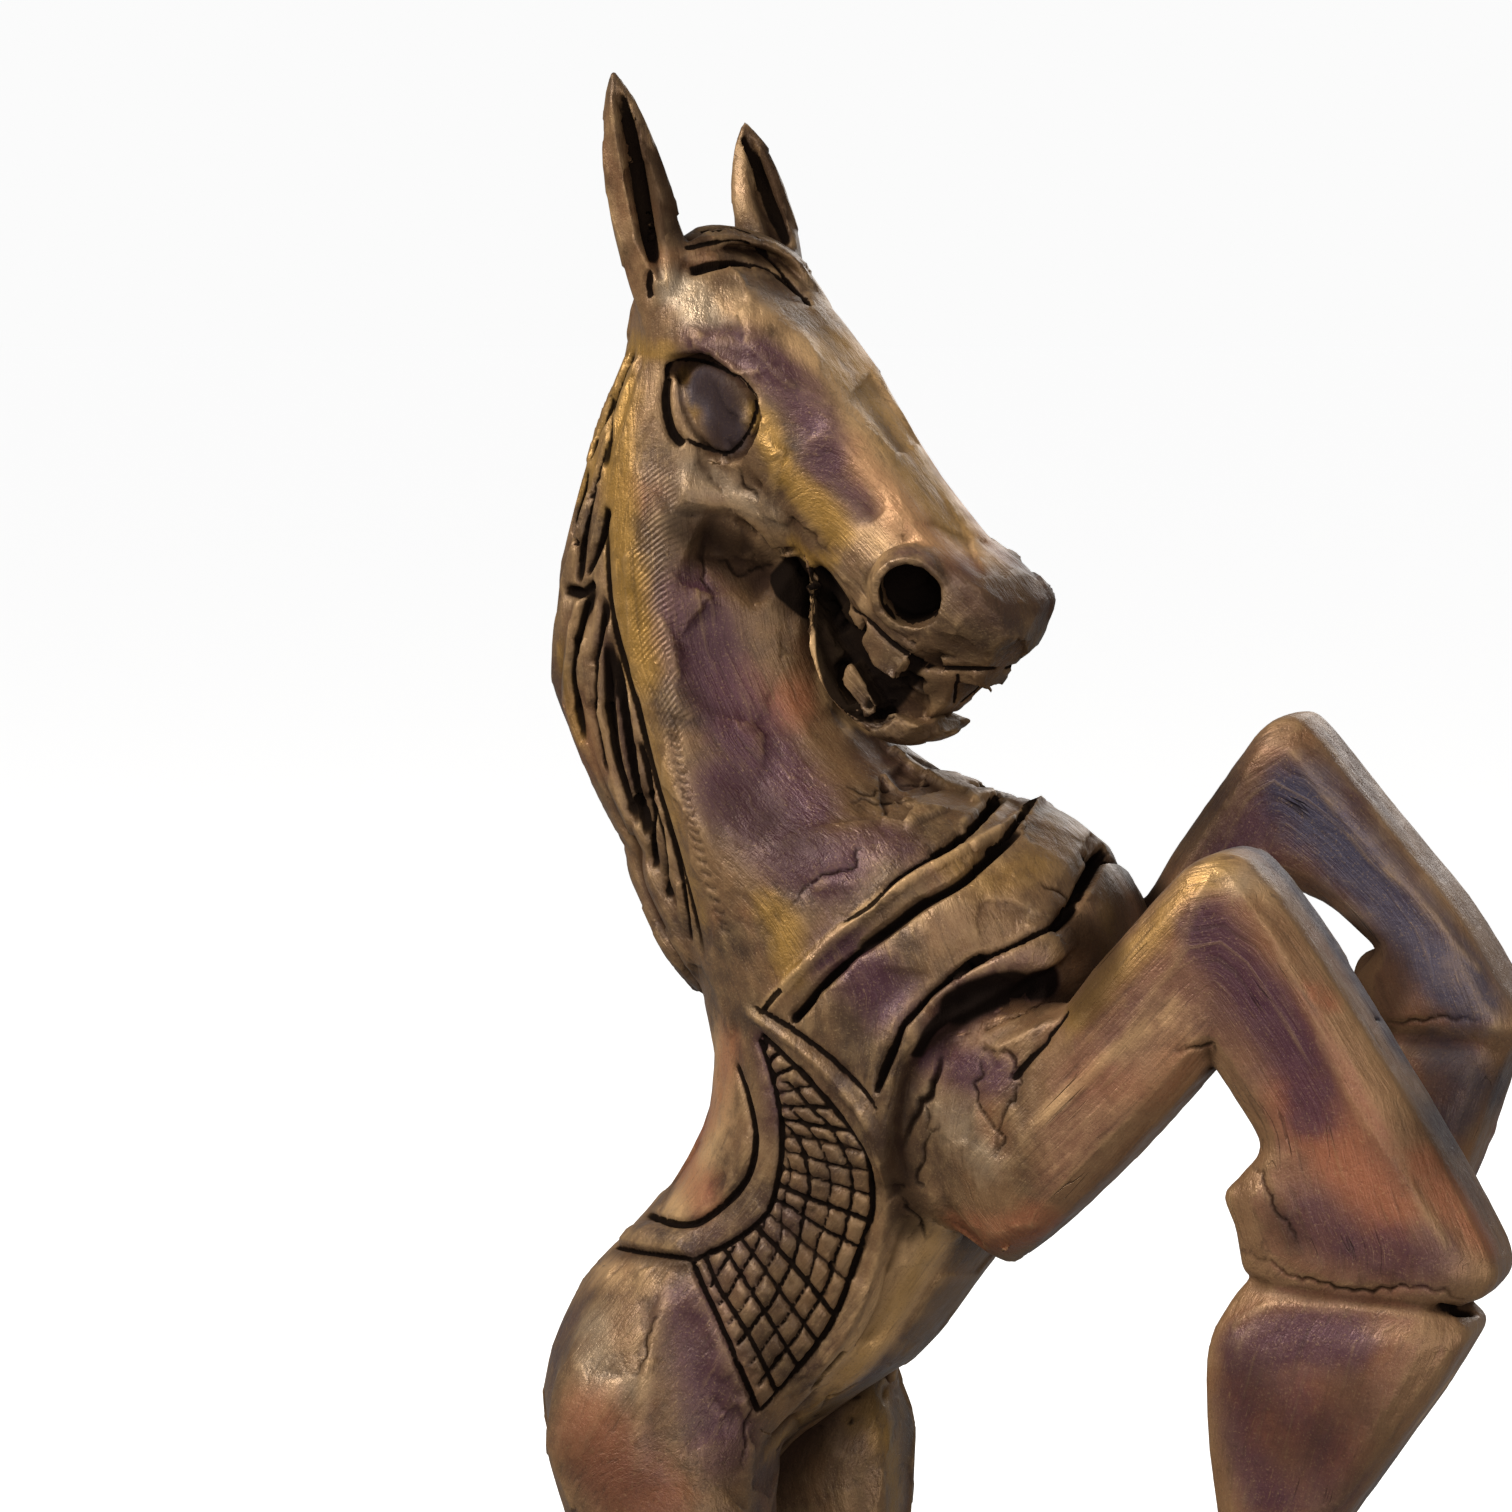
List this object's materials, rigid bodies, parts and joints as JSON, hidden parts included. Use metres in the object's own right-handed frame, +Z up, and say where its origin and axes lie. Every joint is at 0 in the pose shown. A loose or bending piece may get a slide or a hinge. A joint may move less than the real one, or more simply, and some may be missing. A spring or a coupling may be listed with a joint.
{
  "type": "horse sculpture",
  "caption": "Carved wooden sculpture of a rearing horse with a saddle pad and chest straps, head turned aside and mouth open, on a low rectangular base.",
  "frame": {"origin": "centre of the base's underside", "axes": "+Z up, +X the way the horse's body faces, +Y the horse's left side"},
  "size_m": [0.3128, 0.163, 0.5968],
  "materials": {
    "patinated_wood": "satin bronze-brown wax over carved wood",
    "waxed_base_wood": "satin dark wax"
  },
  "bodies": {
    "root": {"horse": "patinated_wood", "base": "waxed_base_wood"}
  },
  "joints": []
}
